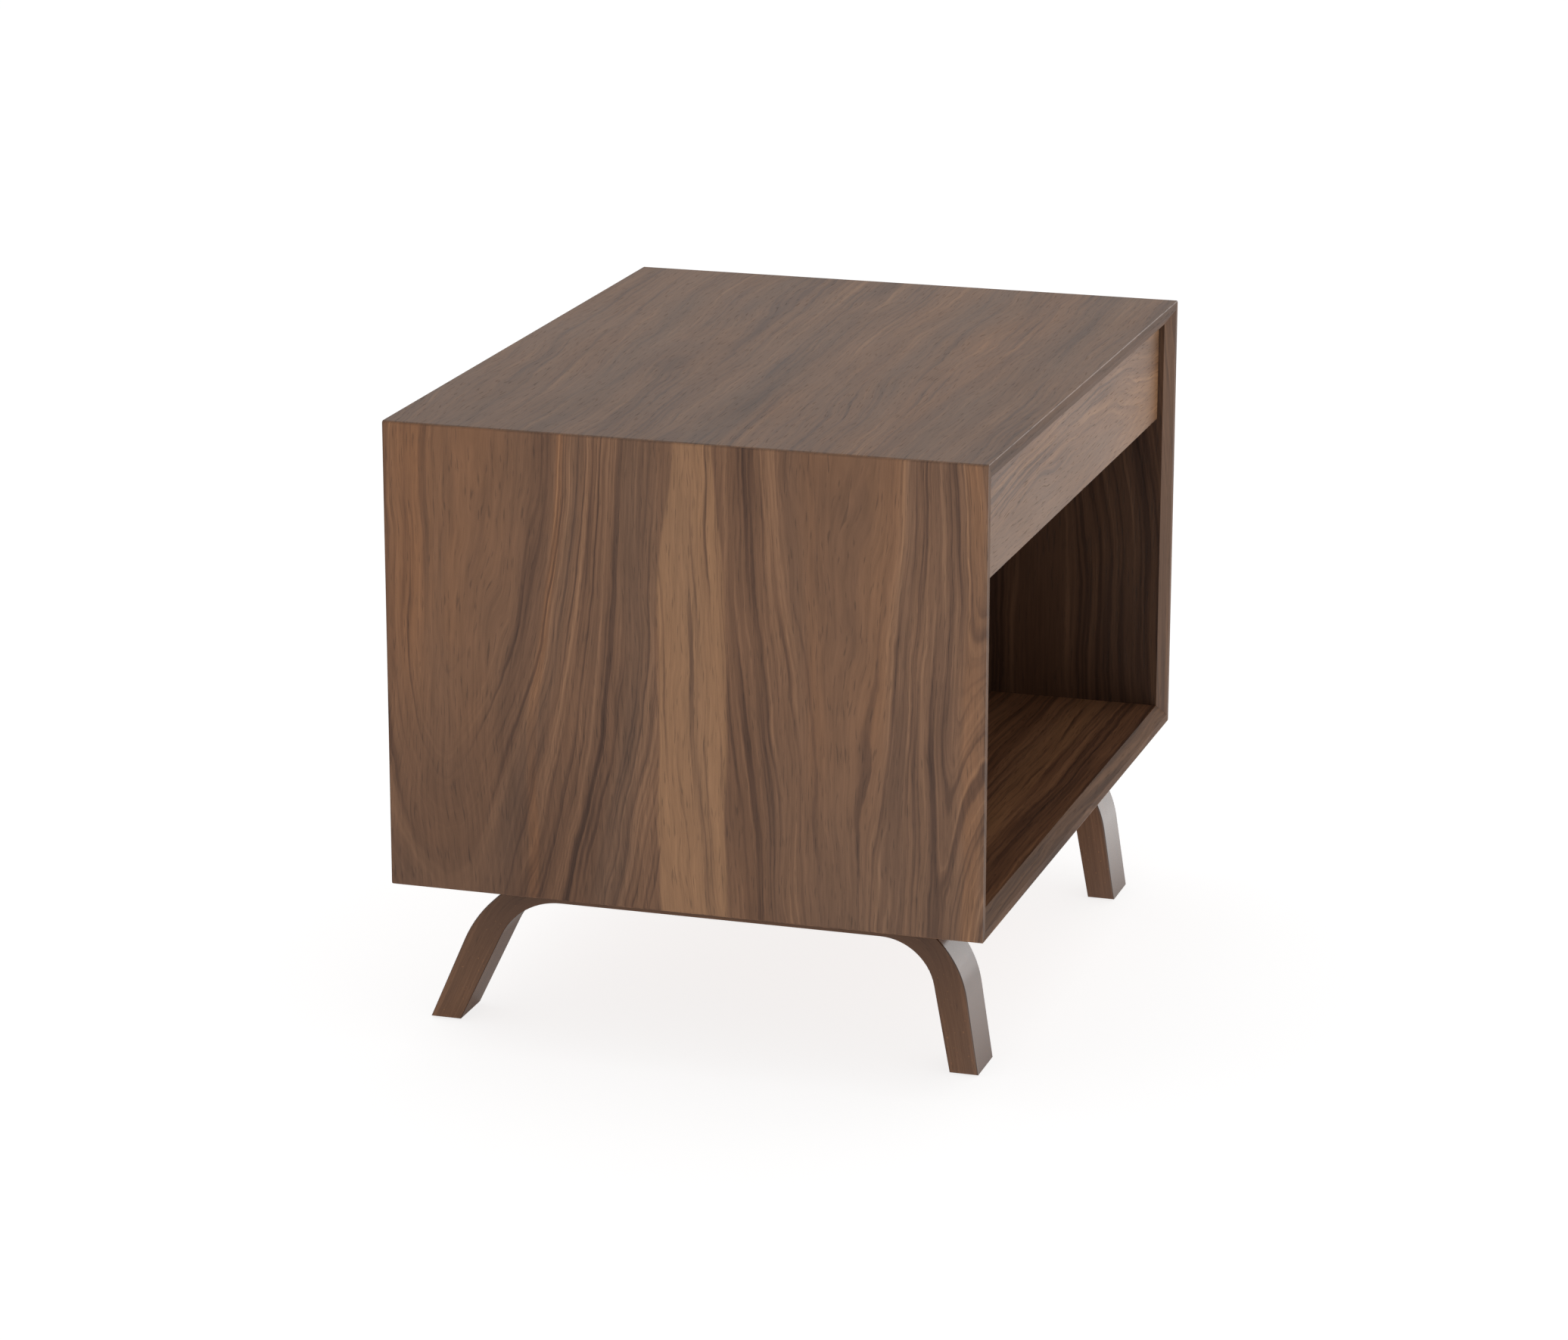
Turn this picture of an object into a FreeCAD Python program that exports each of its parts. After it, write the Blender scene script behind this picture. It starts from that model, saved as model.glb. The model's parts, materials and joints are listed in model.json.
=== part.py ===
"""Bedside table: a mitred walnut box with one drawer over an open cubby, on two bent leg frames.

Frame: +Z up, front faces -Y, +X to the right seen from the front. The origin is on the floor,
under the middle of the box. Lengths are in millimetres.
"""
import FreeCAD, Part
import math
import os
import re

import Sketcher

SIZES = {
    # The box.
    "box_width": 560,
    "box_depth": 432,
    "box_height": 336,
    "board_thick": 16,
    "bevel_wide": 9.6,
    "bevel_deep": 6.4,
    "corner_round": 2,
    "face_round": 0.7,
    "spline_thick": 3,
    "spline_half": 7,
    "spline_stop": 18,
    "spline_in": 5.2,
    # Back panel, held in a rabbet behind the boards.
    "back_thick": 6,
    "back_inset": 3,
    "rabbet_wide": 8,
    # Divider between drawer and cubby.
    "divider_thick": 9,
    "divider_under": 258,
    "divider_front": 30,
    "dado_deep": 6,
    # Leg frames: distances of the outline's corners from the box's front or back plane.
    "leg_height": 120,
    "leg_wide": 41,
    "leg_inset": 58,
    "rail_thick": 23,
    "glide_proud": 1.5,
    "front_foot_out": 17.6,
    "front_foot_in": 38.4,
    "front_crown_out": 36,
    "front_crown_in": 56.4,
    "front_round_out": 74,
    "front_round_in": 40,
    "rear_foot_out": 5,
    "rear_foot_in": 27.7,
    "rear_crown_out": 56.6,
    "rear_crown_in": 73.6,
    "rear_round_out": 95,
    "rear_round_in": 50,
    "leg_edge_round": 1.2,
    "glide_radius": 7.5,
    "glide_pin_radius": 2,
    "glide_pin_long": 12,
    # Leg frame screws and the threaded inserts they turn into.
    "leg_screw_first": 118,
    "leg_screw_pitch": 92,
    "leg_screw_radius": 3,
    "leg_screw_long": 27,
    "leg_head_radius": 5,
    "leg_head_long": 5,
    "leg_bore_radius": 5.5,
    "leg_bore_deep": 7,
    "insert_radius": 4.5,
    "insert_long": 12,
    # Drawer front.
    "front_recess": 10,
    "front_thick": 18,
    "front_gap": 2.5,
    "front_under": 246,
    "cove_radius": 7,
    "cove_up": 7.5,
    "cove_back": 3,
    "cove_long": 430,
    # Drawer box.
    "drawer_wall": 12,
    "drawer_under": 269.5,
    "drawer_tall": 46,
    "drawer_long": 380,
    "bottom_thick": 5,
    "bottom_up": 6,
    "groove_deep": 5,
    "dowel_radius": 3,
    "dowel_long": 24,
    "dowel_in_side": 8,
    "dowel_edge": 14,
    # Telescopic ball slides: sections are measured inwards from the box's side board.
    "slide_wide": 13,
    "slide_first": 32,
    "slide_long": 350,
    "slide_up": 290.5,
    "sheet_thick": 1.2,
    "cabinet_half": 17.5,
    "cabinet_flange": 9.5,
    "cabinet_lip": 0.7,
    "middle_start": 3.2,
    "middle_end": 11,
    "middle_web": 1,
    "middle_half": 12.5,
    "inner_start": 5.6,
    "inner_half": 7.5,
    "stop_gap": 0.4,
    "stop_long": 6,
    "stop_half": 10,
    # Ball cages.
    "ball_radius": 1.85,
    "ball_hole": 1.9,
    "ball_pitch": 20,
    "ball_end": 15,
    "outer_ball_in": 6.6,
    "outer_ball_up": 14.4,
    "inner_ball_in": 8.6,
    "inner_ball_up": 9.4,
    "cage_first": 122,
    "cage_long": 170,
    "cage_thick": 0.6,
    "outer_cage_in": 1.9,
    "inner_cage_in": 4.6,
    "cage_half_wide": 2.4,
    # Wood screws.
    "back_screw_edge": 12,
    "back_screw_radius": 1.5,
    "back_screw_long": 22,
    "back_head_radius": 3.5,
    "back_head_long": 1.8,
    "rail_screw_radius": 1.75,
    "rail_screw_long": 12,
    "rail_head_radius": 3.4,
    "rail_screw_end": 38,
    "front_screw_radius": 2,
    "front_screw_long": 24,
    "front_head_radius": 4,
    "front_head_long": 2.2,
}

BALLS_PER_ROW = 8
RAIL_SCREWS = 3
LEG_SCREWS = 3
SIDES = {"left": -1, "right": 1}
NODE_LIMIT = 60

# Expressions that recur: planes of the box, and the tops and undersides inside it.
FRONT = "(-box_depth / 2)"
BACK = "(box_depth / 2)"
LOW = "leg_height"
TOP = "(leg_height + box_height)"
HALF = "(box_width / 2)"
INSIDE = "(box_width / 2 - board_thick)"
BACK_FACE = "(box_depth / 2 - back_inset - back_thick)"
DRAWER_HALF = "(box_width / 2 - board_thick - slide_wide)"
DRAWER_LOW = "(leg_height + drawer_under)"
DRAWER_FRONT_BACK = "(front_recess + front_thick - box_depth / 2)"
SLIDE_FRONT = "(slide_first - box_depth / 2)"
SLIDE_LEVEL = "(leg_height + slide_up)"

doc = FreeCAD.newDocument("bedside_table")
sizes = doc.addObject("Spreadsheet::Sheet", "sizes")
nodes = []


def fill_sheet():
    """One row per driving dimension: its value, under an alias, beside its name."""
    for row, (alias, value) in enumerate(SIZES.items(), start=1):
        sizes.set(f"A{row}", alias)
        sizes.set(f"B{row}", str(value))
        sizes.setAlias(f"B{row}", alias)
    doc.recompute()


def linked(expression):
    """The expression with each alias written as a cell of the sheet."""
    return re.sub(r"\b[a-z]+(?:_[a-z]+)+\b", lambda found: "sizes." + found.group(0), str(expression))


def value(expression):
    return float(sizes.evalExpression(linked(expression)))


def bind(thing, **properties):
    """Bind properties to sheet expressions; a double underscore in a name stands for a dot."""
    for name, expression in properties.items():
        thing.setExpression(name.replace("__", "."), linked(expression))


def node(thing, name):
    """Register a finished sub-part under the name of its file."""
    thing.Label = name
    nodes.append(thing)
    return thing


def new_body(name):
    body = doc.addObject("PartDesign::Body", name)
    body.AllowCompound = True
    return node(body, name)


def plane_of(body, role):
    return next(feature for feature in body.Origin.OriginFeatures if feature.Role == role)


def outline(sketch, corners):
    """Add a closed polygon whose corners are pairs of sheet expressions."""
    points = [FreeCAD.Vector(value(x), value(y), 0) for x, y in corners]
    first = sketch.GeometryCount
    count = len(points)
    for index in range(count):
        sketch.addGeometry(Part.LineSegment(points[index], points[(index + 1) % count]))
    for index in range(count):
        following = first + (index + 1) % count
        sketch.addConstraint(Sketcher.Constraint("Coincident", first + index, 2, following, 1))
    for index, corner in enumerate(corners):
        for kind, expression in zip(("DistanceX", "DistanceY"), corner):
            constraint = Sketcher.Constraint(kind, -1, 1, first + index, 1, value(expression))
            number = sketch.addConstraint(constraint)
            sketch.setExpression(f"Constraints[{number}]", linked(expression))


def extrude(body, name, plane, outlines, start, length, cut=False):
    """Pad or pocket closed outlines from start, by length, towards the plane's positive axis."""
    backwards = plane == "XZ_Plane"
    sketch = body.newObject("Sketcher::SketchObject", name + "_sketch")
    sketch.AttachmentSupport = [(plane_of(body, plane), "")]
    sketch.MapMode = "FlatFace"
    bind(sketch, AttachmentOffset__Base__z=f"-1 * ({start})" if backwards else start)
    for corners in outlines:
        outline(sketch, corners)
    before = volume(body) if cut else 0
    feature = body.newObject("PartDesign::Pocket" if cut else "PartDesign::Pad", name)
    feature.Profile = sketch
    feature.Reversed = backwards != cut
    bind(feature, Length=length)
    if cut:
        must_shrink(body, before, name)
    return feature


def volume(body):
    doc.recompute()
    return body.Shape.Volume


def must_shrink(body, before, name):
    if volume(body) >= before:
        raise RuntimeError(f"{name} cuts nothing from {body.Label}")


def turned(body, kind, name, spot, direction, **measures):
    """A cylinder, cone, prism or sphere feature that starts at spot and runs along direction."""
    feature = body.newObject("PartDesign::" + kind, name)
    turn = FreeCAD.Rotation(FreeCAD.Vector(0, 0, 1), FreeCAD.Vector(*direction))
    feature.Placement = FreeCAD.Placement(FreeCAD.Vector(), turn)
    bind(feature, **{f"Placement__Base__{axis}": place for axis, place in zip("xyz", spot)})
    bind(feature, **measures)
    return feature


def round_edges(body, name, radius, chosen):
    """Fillet the edges of the body's last feature that chosen accepts."""
    doc.recompute()
    base = body.Tip
    edges = [f"Edge{index}" for index, edge in enumerate(base.Shape.Edges, start=1) if chosen(edge)]
    if not edges:
        raise RuntimeError(f"no edges for {name}")
    fillet = body.newObject("PartDesign::Fillet", name)
    fillet.Base = (base, edges)
    bind(fillet, Radius=radius)


def lies_at_y(edge, y):
    """Whether the whole edge lies in the plane across Y at y."""
    return edge.BoundBox.YLength < 0.01 and abs(edge.BoundBox.YMin - y) < 0.01


def rectangle(x_low, y_low, x_high, y_high):
    return [(x_low, y_low), (x_high, y_low), (x_high, y_high), (x_low, y_high)]


def mirrored(side, corners):
    """Corners of a section given as distances inwards from a side board's inner face."""
    return [(f"{side} * ({INSIDE} - ({x}))", y) for x, y in corners]


# ---------------------------------------------------------------- the box

def eased_envelope():
    """The box's outer form with its edges eased, which trims the boards along their mitres alike."""
    body = doc.addObject("PartDesign::Body", "envelope")
    form = rectangle(f"-{HALF}", FRONT, HALF, BACK)
    extrude(body, "envelope_form", "XY_Plane", [form], LOW, "box_height")
    round_edges(body, "envelope_corners", "corner_round",
                lambda edge: edge.BoundBox.YLength > edge.BoundBox.XLength + edge.BoundBox.ZLength)
    round_edges(body, "envelope_faces", "face_round",
                lambda edge: lies_at_y(edge, value(FRONT)) or lies_at_y(edge, value(BACK)))
    return body


def eased(body, envelope):
    """Replace a board's node with the part of it inside the eased envelope."""
    name = body.Label
    nodes.remove(body)
    body.Label = name + "_body"
    common = doc.addObject("Part::Common", name + "_eased")
    common.Base = body
    common.Tool = envelope
    return node(common, name)


def spline_outline(x_sign, z_sign, reach):
    """Section of a mitre spline, or of its groove, which crosses the mitre at a right angle."""
    x_middle = f"({x_sign} * ({INSIDE} + spline_in))"
    inner_level = f"{LOW} + board_thick" if z_sign < 0 else f"{TOP} - board_thick"
    z_middle = f"({inner_level} + ({z_sign}) * spline_in)"
    along = f"({reach}) * sqrt(0.5)"
    across = "spline_thick / 2 * sqrt(0.5)"
    corners = []
    for long_sign, thick_sign in ((-1, -1), (1, -1), (1, 1), (-1, 1)):
        x_shift = f"({long_sign} * {along} + {thick_sign} * {across})"
        z_shift = f"({long_sign} * {along} - {thick_sign} * {across})"
        corners.append((f"{x_middle} - ({x_sign}) * {x_shift}", f"{z_middle} + ({z_sign}) * {z_shift}"))
    return corners


def spline_grooves(body, corner_signs):
    outlines = [spline_outline(x_sign, z_sign, "spline_half + 0.2") for x_sign, z_sign in corner_signs]
    extrude(body, body.Name + "_grooves", "XZ_Plane", outlines, f"{FRONT} + spline_stop",
            "box_depth - 2 * spline_stop", cut=True)


def flat_panel(name, z_sign):
    """The top or bottom board: mitred ends, bevelled front edge, rabbeted back edge."""
    body = new_body(name)
    outer = TOP if z_sign > 0 else LOW
    inner = f"({outer} - ({z_sign}) * board_thick)"
    section = [(f"-{HALF}", outer), (HALF, outer), (INSIDE, inner), (f"-{INSIDE}", inner)]
    extrude(body, name + "_board", "XZ_Plane", [section], FRONT, "box_depth")
    bevel = [(FRONT, inner), (f"{FRONT} + bevel_deep", inner), (FRONT, f"{inner} + ({z_sign}) * bevel_wide")]
    extrude(body, name + "_bevel", "YZ_Plane", [bevel], f"-{HALF}", "box_width", cut=True)
    rabbet = rectangle(BACK_FACE, inner, BACK, f"{inner} + ({z_sign}) * rabbet_wide")
    extrude(body, name + "_rabbet", "YZ_Plane", [rabbet], f"-{HALF}", "box_width", cut=True)
    spline_grooves(body, [(-1, z_sign), (1, z_sign)])
    return body


def side_panel(name, side):
    """A side board: mitred above and below, with a stopped dado for the divider."""
    body = new_body(name)
    outer = f"({side} * {HALF})"
    inner = f"({side} * {INSIDE})"
    section = [(outer, LOW), (outer, TOP), (inner, f"{TOP} - board_thick"), (inner, f"{LOW} + board_thick")]
    extrude(body, name + "_board", "XZ_Plane", [section], FRONT, "box_depth")
    bevel = [(inner, FRONT), (inner, f"{FRONT} + bevel_deep"), (f"{inner} + ({side}) * bevel_wide", FRONT)]
    extrude(body, name + "_bevel", "XY_Plane", [bevel], LOW, "box_height", cut=True)
    rabbet = rectangle(inner, BACK_FACE, f"{inner} + ({side}) * rabbet_wide", BACK)
    extrude(body, name + "_rabbet", "XY_Plane", [rabbet], LOW, "box_height", cut=True)
    dado_low = f"{LOW} + divider_under"
    dado = rectangle(inner, dado_low, f"{inner} + ({side}) * dado_deep", f"{dado_low} + divider_thick")
    extrude(body, name + "_dado", "XZ_Plane", [dado], f"{FRONT} + divider_front",
            "box_depth - divider_front", cut=True)
    spline_grooves(body, [(side, -1), (side, 1)])
    return body


def mitre_splines():
    body = new_body("mitre_splines")
    outlines = [spline_outline(x_sign, z_sign, "spline_half") for x_sign in (-1, 1) for z_sign in (-1, 1)]
    extrude(body, "splines", "XZ_Plane", outlines, f"{FRONT} + spline_stop", "box_depth - 2 * spline_stop")


def board(name, lowest, length, width, height):
    """A plain rectangular board as a body, from its lowest corner."""
    x, y, z = lowest
    body = new_body(name)
    footprint = rectangle(x, y, f"{x} + {length}", f"{y} + {width}")
    extrude(body, name + "_board", "XY_Plane", [footprint], z, height)
    return body


def back_screw_spots():
    """Screws near each upright edge of the back panel, and between them above and below."""
    side_place = f"({HALF} - back_screw_edge)"
    level_low = f"({LOW} + back_screw_edge)"
    level_high = f"({TOP} - back_screw_edge)"
    uprights = [(sign, f"({LOW} + box_height * {share})") for sign in (-1, 1) for share in (0.14, 0.5, 0.86)]
    spots = [(f"{sign} * {side_place}", level) for sign, level in uprights]
    spots += [(f"{sign} * box_width / 6", level) for sign in (-1, 1) for level in (level_low, level_high)]
    return [(x, f"({BACK} - back_inset)", z) for x, z in spots]


def back_screw_holes(body, spots):
    """The shank's pilot holes."""
    for index, spot in enumerate(spots):
        turned(body, "SubtractiveCylinder", f"{body.Name}_hole_{index}", spot, (0, -1, 0),
               Radius="back_screw_radius", Height="back_screw_long")


def back_panel_screws(spots):
    body = new_body("back_panel_screws")
    for index, spot in enumerate(spots):
        x, y, z = spot
        face = (x, f"{y} + back_head_long", z)
        turned(body, "AdditiveCylinder", f"back_shank_{index}", face, (0, -1, 0),
               Radius="back_screw_radius", Height="back_screw_long + back_head_long")
        turned(body, "AdditiveCylinder", f"back_head_{index}", face, (0, -1, 0),
               Radius="back_head_radius", Height="back_head_long")
        turned(body, "SubtractivePrism", f"back_socket_{index}", face, (0, -1, 0),
               Circumradius="back_head_radius / 2", Height="back_head_long * 0.7")


# ---------------------------------------------------------------- the leg frames

def leg_outline():
    """The bent frame's outline with sharp corners, from the front foot round to the rear foot."""
    crown_in = "(leg_height - rail_thick)"
    foot = "glide_proud"
    return [
        (f"{FRONT} + front_foot_out", foot),
        (f"{FRONT} + front_crown_out", LOW),
        (f"{BACK} - rear_crown_out", LOW),
        (f"{BACK} - rear_foot_out", foot),
        (f"{BACK} - rear_foot_in", foot),
        (f"{BACK} - rear_crown_in", crown_in),
        (f"{FRONT} + front_crown_in", crown_in),
        (f"{FRONT} + front_foot_in", foot),
    ]


def round_corner(body, name, corner, radius):
    """Fillet the edge that runs along X through one corner of the outline."""
    y, z = (value(coordinate) for coordinate in corner)
    round_edges(body, name, radius, lambda edge: edge.BoundBox.XLength > 1 and
                math.hypot(edge.CenterOfMass.y - y, edge.CenterOfMass.z - z) < 0.01)


def leg_screw_spots(side):
    """Seats of the screw heads, inside the rail's counterbores."""
    x = f"{side} * ({HALF} - leg_inset - leg_wide / 2)"
    z = "(leg_height - rail_thick + leg_bore_deep)"
    return [(x, f"{FRONT} + leg_screw_first + {index} * leg_screw_pitch", z) for index in range(LEG_SCREWS)]


def glide_spots(side):
    x = f"{side} * ({HALF} - leg_inset - leg_wide / 2)"
    front = f"{FRONT} + (front_foot_out + front_foot_in) / 2"
    rear = f"{BACK} - (rear_foot_out + rear_foot_in) / 2"
    return [(x, front, "0"), (x, rear, "0")]


def leg_frame(name, side):
    """One bent frame: front leg, rail and rear leg in a single laminated piece."""
    body = new_body(name)
    outer = f"({side} * ({HALF} - leg_inset))"
    start = outer if side < 0 else f"({outer} - leg_wide)"
    corners = leg_outline()
    extrude(body, name + "_bend", "YZ_Plane", [corners], start, "leg_wide")
    rounds = {1: "front_round_out", 2: "rear_round_out", 5: "rear_round_in", 6: "front_round_in"}
    for corner, radius in rounds.items():
        round_corner(body, f"{name}_{radius}", corners[corner], radius)
    round_edges(body, name + "_edges", "leg_edge_round", lambda edge: edge.BoundBox.XLength < 0.01)
    for index, (x, y, seat) in enumerate(leg_screw_spots(side)):
        turned(body, "SubtractiveCylinder", f"{name}_bore_{index}", (x, y, seat), (0, 0, -1),
               Radius="leg_bore_radius", Height="leg_bore_deep")
        turned(body, "SubtractiveCylinder", f"{name}_clearance_{index}", (x, y, seat), (0, 0, 1),
               Radius="leg_screw_radius", Height="rail_thick")
    for index, spot in enumerate(glide_spots(side)):
        turned(body, "SubtractiveCylinder", f"{name}_glide_hole_{index}", spot, (0, 0, 1),
               Radius="glide_pin_radius", Height="glide_proud + glide_pin_long")
    return body


def foot_glides():
    body = new_body("foot_glides")
    spots = glide_spots(-1) + glide_spots(1)
    for index, spot in enumerate(spots):
        turned(body, "AdditiveCylinder", f"glide_{index}", spot, (0, 0, 1),
               Radius="glide_radius", Height="glide_proud")
        turned(body, "AdditiveCylinder", f"glide_pin_{index}", spot, (0, 0, 1),
               Radius="glide_pin_radius", Height="glide_proud + glide_pin_long")


def leg_frame_screws():
    body = new_body("leg_frame_screws")
    for index, (x, y, seat) in enumerate(leg_screw_spots(-1) + leg_screw_spots(1)):
        face = (x, y, f"{seat} - leg_head_long")
        turned(body, "AdditiveCylinder", f"leg_shank_{index}", face, (0, 0, 1),
               Radius="leg_screw_radius", Height="leg_head_long + leg_screw_long")
        turned(body, "AdditiveCylinder", f"leg_head_{index}", face, (0, 0, 1),
               Radius="leg_head_radius", Height="leg_head_long")
        turned(body, "SubtractivePrism", f"leg_socket_{index}", face, (0, 0, 1),
               Circumradius="leg_head_radius / 2", Height="leg_head_long * 0.6")


def insert_spots():
    return [(x, y, LOW) for side in SIDES.values() for x, y, _ in leg_screw_spots(side)]


def threaded_inserts():
    body = new_body("threaded_inserts")
    for index, spot in enumerate(insert_spots()):
        turned(body, "AdditiveCylinder", f"insert_{index}", spot, (0, 0, 1),
               Radius="insert_radius", Height="insert_long")
        turned(body, "SubtractiveCylinder", f"insert_bore_{index}", spot, (0, 0, 1),
               Radius="leg_screw_radius", Height="insert_long")


def insert_holes(body):
    for index, spot in enumerate(insert_spots()):
        turned(body, "SubtractiveCylinder", f"insert_hole_{index}", spot, (0, 0, 1),
               Radius="insert_radius", Height="insert_long")


# ---------------------------------------------------------------- the slides

def level(offset):
    return f"({SLIDE_LEVEL} + ({offset}))"


def channel(side, web_outer, web_inner, tip, half, thick, lip="0"):
    """C section: a web between two distances inwards, and flanges that reach to tip."""
    inner_half = f"({half} - {thick})"
    lip_half = f"({inner_half} - {lip})"
    towards = "1" if value(tip) > value(web_outer) else "-1"
    lip_start = f"({tip} - {towards} * {thick})"
    upper = [(web_outer, half), (tip, half), (tip, lip_half), (lip_start, lip_half), (lip_start, inner_half)]
    if value(lip) == 0:
        upper = [(web_outer, half), (tip, half), (tip, inner_half)]
    upper.append((web_inner, inner_half))
    lower = [(distance, f"-1 * {height}") for distance, height in reversed(upper)]
    return mirrored(side, [(distance, level(height)) for distance, height in upper + lower])


def rail(name, side, section, length):
    body = new_body(name)
    extrude(body, name + "_channel", "XZ_Plane", [section], SLIDE_FRONT, length)
    return body


def cabinet_rail(name, side):
    section = channel(side, "0", "sheet_thick", "cabinet_flange", "cabinet_half", "sheet_thick",
                      lip="cabinet_lip")
    body = rail(name, side, section, "slide_long + stop_gap + stop_long")
    cabinet_screws(body, side, "Subtractive")
    return body


def middle_rail(name, side):
    web = "(middle_start + middle_web)"
    section = channel(side, "middle_start", web, "middle_end", "middle_half", "sheet_thick")
    return rail(name, side, section, "slide_long")


def drawer_rail(name, side):
    web = "(slide_wide - sheet_thick)"
    section = channel(side, "slide_wide", web, "inner_start", "inner_half", "sheet_thick")
    body = rail(name, side, section, "slide_long")
    drawer_rail_screw_set(body, side, "Subtractive")
    return body


def rail_screw_places():
    pitch = f"((slide_long - 2 * rail_screw_end) / {RAIL_SCREWS - 1})"
    return [f"{SLIDE_FRONT} + rail_screw_end + {pitch} * {index}" for index in range(RAIL_SCREWS)]


def countersunk(body, name, spot, direction, kind):
    """A countersunk wood screw, or the hole for it, with its head flush in a rail's web."""
    turned(body, kind + "Cylinder", name + "_shank", spot, direction,
           Radius="rail_screw_radius", Height="rail_screw_long")
    turned(body, kind + "Cone", name + "_head", spot, direction,
           Radius1="rail_head_radius", Radius2="rail_screw_radius", Height="sheet_thick")
    if kind == "Additive":
        turned(body, "SubtractivePrism", name + "_socket", spot, direction,
               Circumradius="rail_screw_radius", Height="sheet_thick * 0.75")


def cabinet_screws(body, side, kind):
    x = f"{side} * ({INSIDE} - sheet_thick)"
    for index, y in enumerate(rail_screw_places()):
        countersunk(body, f"{body.Name}_screw_{index}_{side + 1}", (x, y, SLIDE_LEVEL), (side, 0, 0), kind)


def drawer_rail_screw_set(body, side, kind):
    x = f"{side} * ({DRAWER_HALF} + sheet_thick)"
    for index, y in enumerate(rail_screw_places()):
        countersunk(body, f"{body.Name}_screw_{index}_{side + 1}", (x, y, SLIDE_LEVEL), (-side, 0, 0), kind)


def screw_group(name, fill):
    body = new_body(name)
    for side in SIDES.values():
        fill(body, side, "Additive")


def slide_end_stops():
    """Nylon blocks in the rear end of the cabinet rails, which the drawer rails close on."""
    body = new_body("slide_end_stops")
    block = rectangle("sheet_thick", level("-1 * stop_half"), "middle_end", level("stop_half"))
    stops = [mirrored(side, block) for side in SIDES.values()]
    extrude(body, "stops", "XZ_Plane", stops, f"{SLIDE_FRONT} + slide_long + stop_gap", "stop_long")


def ball_places():
    return [f"{FRONT} + cage_first + ball_end + {index} * ball_pitch" for index in range(BALLS_PER_ROW)]


def ball_cage(name, side, web, ball_in, ball_up):
    """A sheet cage with two strips of ball holes, joined by a web."""
    body = new_body(name)
    half = f"({ball_up} + cage_thick / 2)"
    section = channel(side, web, f"({web} + cage_thick)", f"({ball_in} + cage_half_wide)", half, "cage_thick")
    extrude(body, name + "_sheet", "XZ_Plane", [section], f"{FRONT} + cage_first", "cage_long")
    for index, y in enumerate(ball_places()):
        spot = (f"{side} * ({INSIDE} - {ball_in})", y, level(f"-1 * {half} - 1"))
        turned(body, "SubtractiveCylinder", f"{name}_holes_{index}", spot, (0, 0, 1),
               Radius="ball_hole", Height=f"2 * {half} + 2")
    return body


def balls(name, side, ball_in, ball_up):
    body = new_body(name)
    for index, y in enumerate(ball_places()):
        for row, sign in enumerate((-1, 1)):
            spot = (f"{side} * ({INSIDE} - {ball_in})", y, level(f"{sign} * {ball_up}"))
            turned(body, "AdditiveSphere", f"{name}_{index}_{row}", spot, (0, 0, 1), Radius="ball_radius")
    return body


# ---------------------------------------------------------------- the drawer

def drawer_front():
    """The inset front, with a cove behind its lower edge for the fingers."""
    low = f"({LOW} + front_under)"
    height = "(box_height - board_thick - front_gap - front_under)"
    half = f"({INSIDE} - front_gap)"
    lowest = (f"-{half}", f"{FRONT} + front_recess", low)
    body = board("drawer_front", lowest, f"2 * {half}", "front_thick", height)
    face = value(f"{FRONT} + front_recess")
    round_edges(body, "front_edges", "face_round", lambda edge: lies_at_y(edge, face))
    spot = ("-1 * cove_long / 2", f"{DRAWER_FRONT_BACK} + cove_back", f"{low} + cove_up")
    turned(body, "SubtractiveCylinder", "finger_cove", spot, (1, 0, 0),
           Radius="cove_radius", Height="cove_long")
    front_screw_set(body, "Subtractive")
    return body


def front_screw_set(body, kind):
    """Screws that hold the front to the drawer box, driven from inside the box."""
    kinds = {"Subtractive": "cut", "Additive": "screw"}
    face = f"({DRAWER_FRONT_BACK} + drawer_wall)"
    for x_share in (-0.68, 0.68):
        for z_share in (0.42, 0.78):
            x = f"{DRAWER_HALF} * {x_share}"
            z = f"{DRAWER_LOW} + drawer_tall * {z_share}"
            name = f"{body.Name}_{kinds[kind]}_{len(body.Group)}"
            if kind == "Subtractive":
                turned(body, "SubtractiveCylinder", name, (x, face, z), (0, -1, 0),
                       Radius="front_screw_radius", Height="front_screw_long")
                continue
            head = (x, f"{face} + front_head_long", z)
            turned(body, "AdditiveCylinder", name + "_shank", head, (0, -1, 0),
                   Radius="front_screw_radius", Height="front_screw_long + front_head_long")
            turned(body, "AdditiveCylinder", name + "_head", head, (0, -1, 0),
                   Radius="front_head_radius", Height="front_head_long")
            turned(body, "SubtractivePrism", name + "_socket", head, (0, -1, 0),
                   Circumradius="front_head_radius / 2", Height="front_head_long * 0.7")


def dowel_spots(y):
    """Pairs of dowels, one above the other, in each end of the drawer's front or back wall."""
    spots = []
    for side in SIDES.values():
        x = f"{side} * ({DRAWER_HALF} - drawer_wall + dowel_in_side)"
        for height in (f"{DRAWER_LOW} + drawer_tall - dowel_edge / 2",
                       f"{DRAWER_LOW} + bottom_up + bottom_thick + dowel_edge / 2"):
            spots.append((side, (x, y, height)))
    return spots


def corner_planes():
    front = f"({DRAWER_FRONT_BACK} + drawer_wall / 2)"
    rear = f"({DRAWER_FRONT_BACK} + drawer_long - drawer_wall / 2)"
    return [front, rear]


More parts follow.
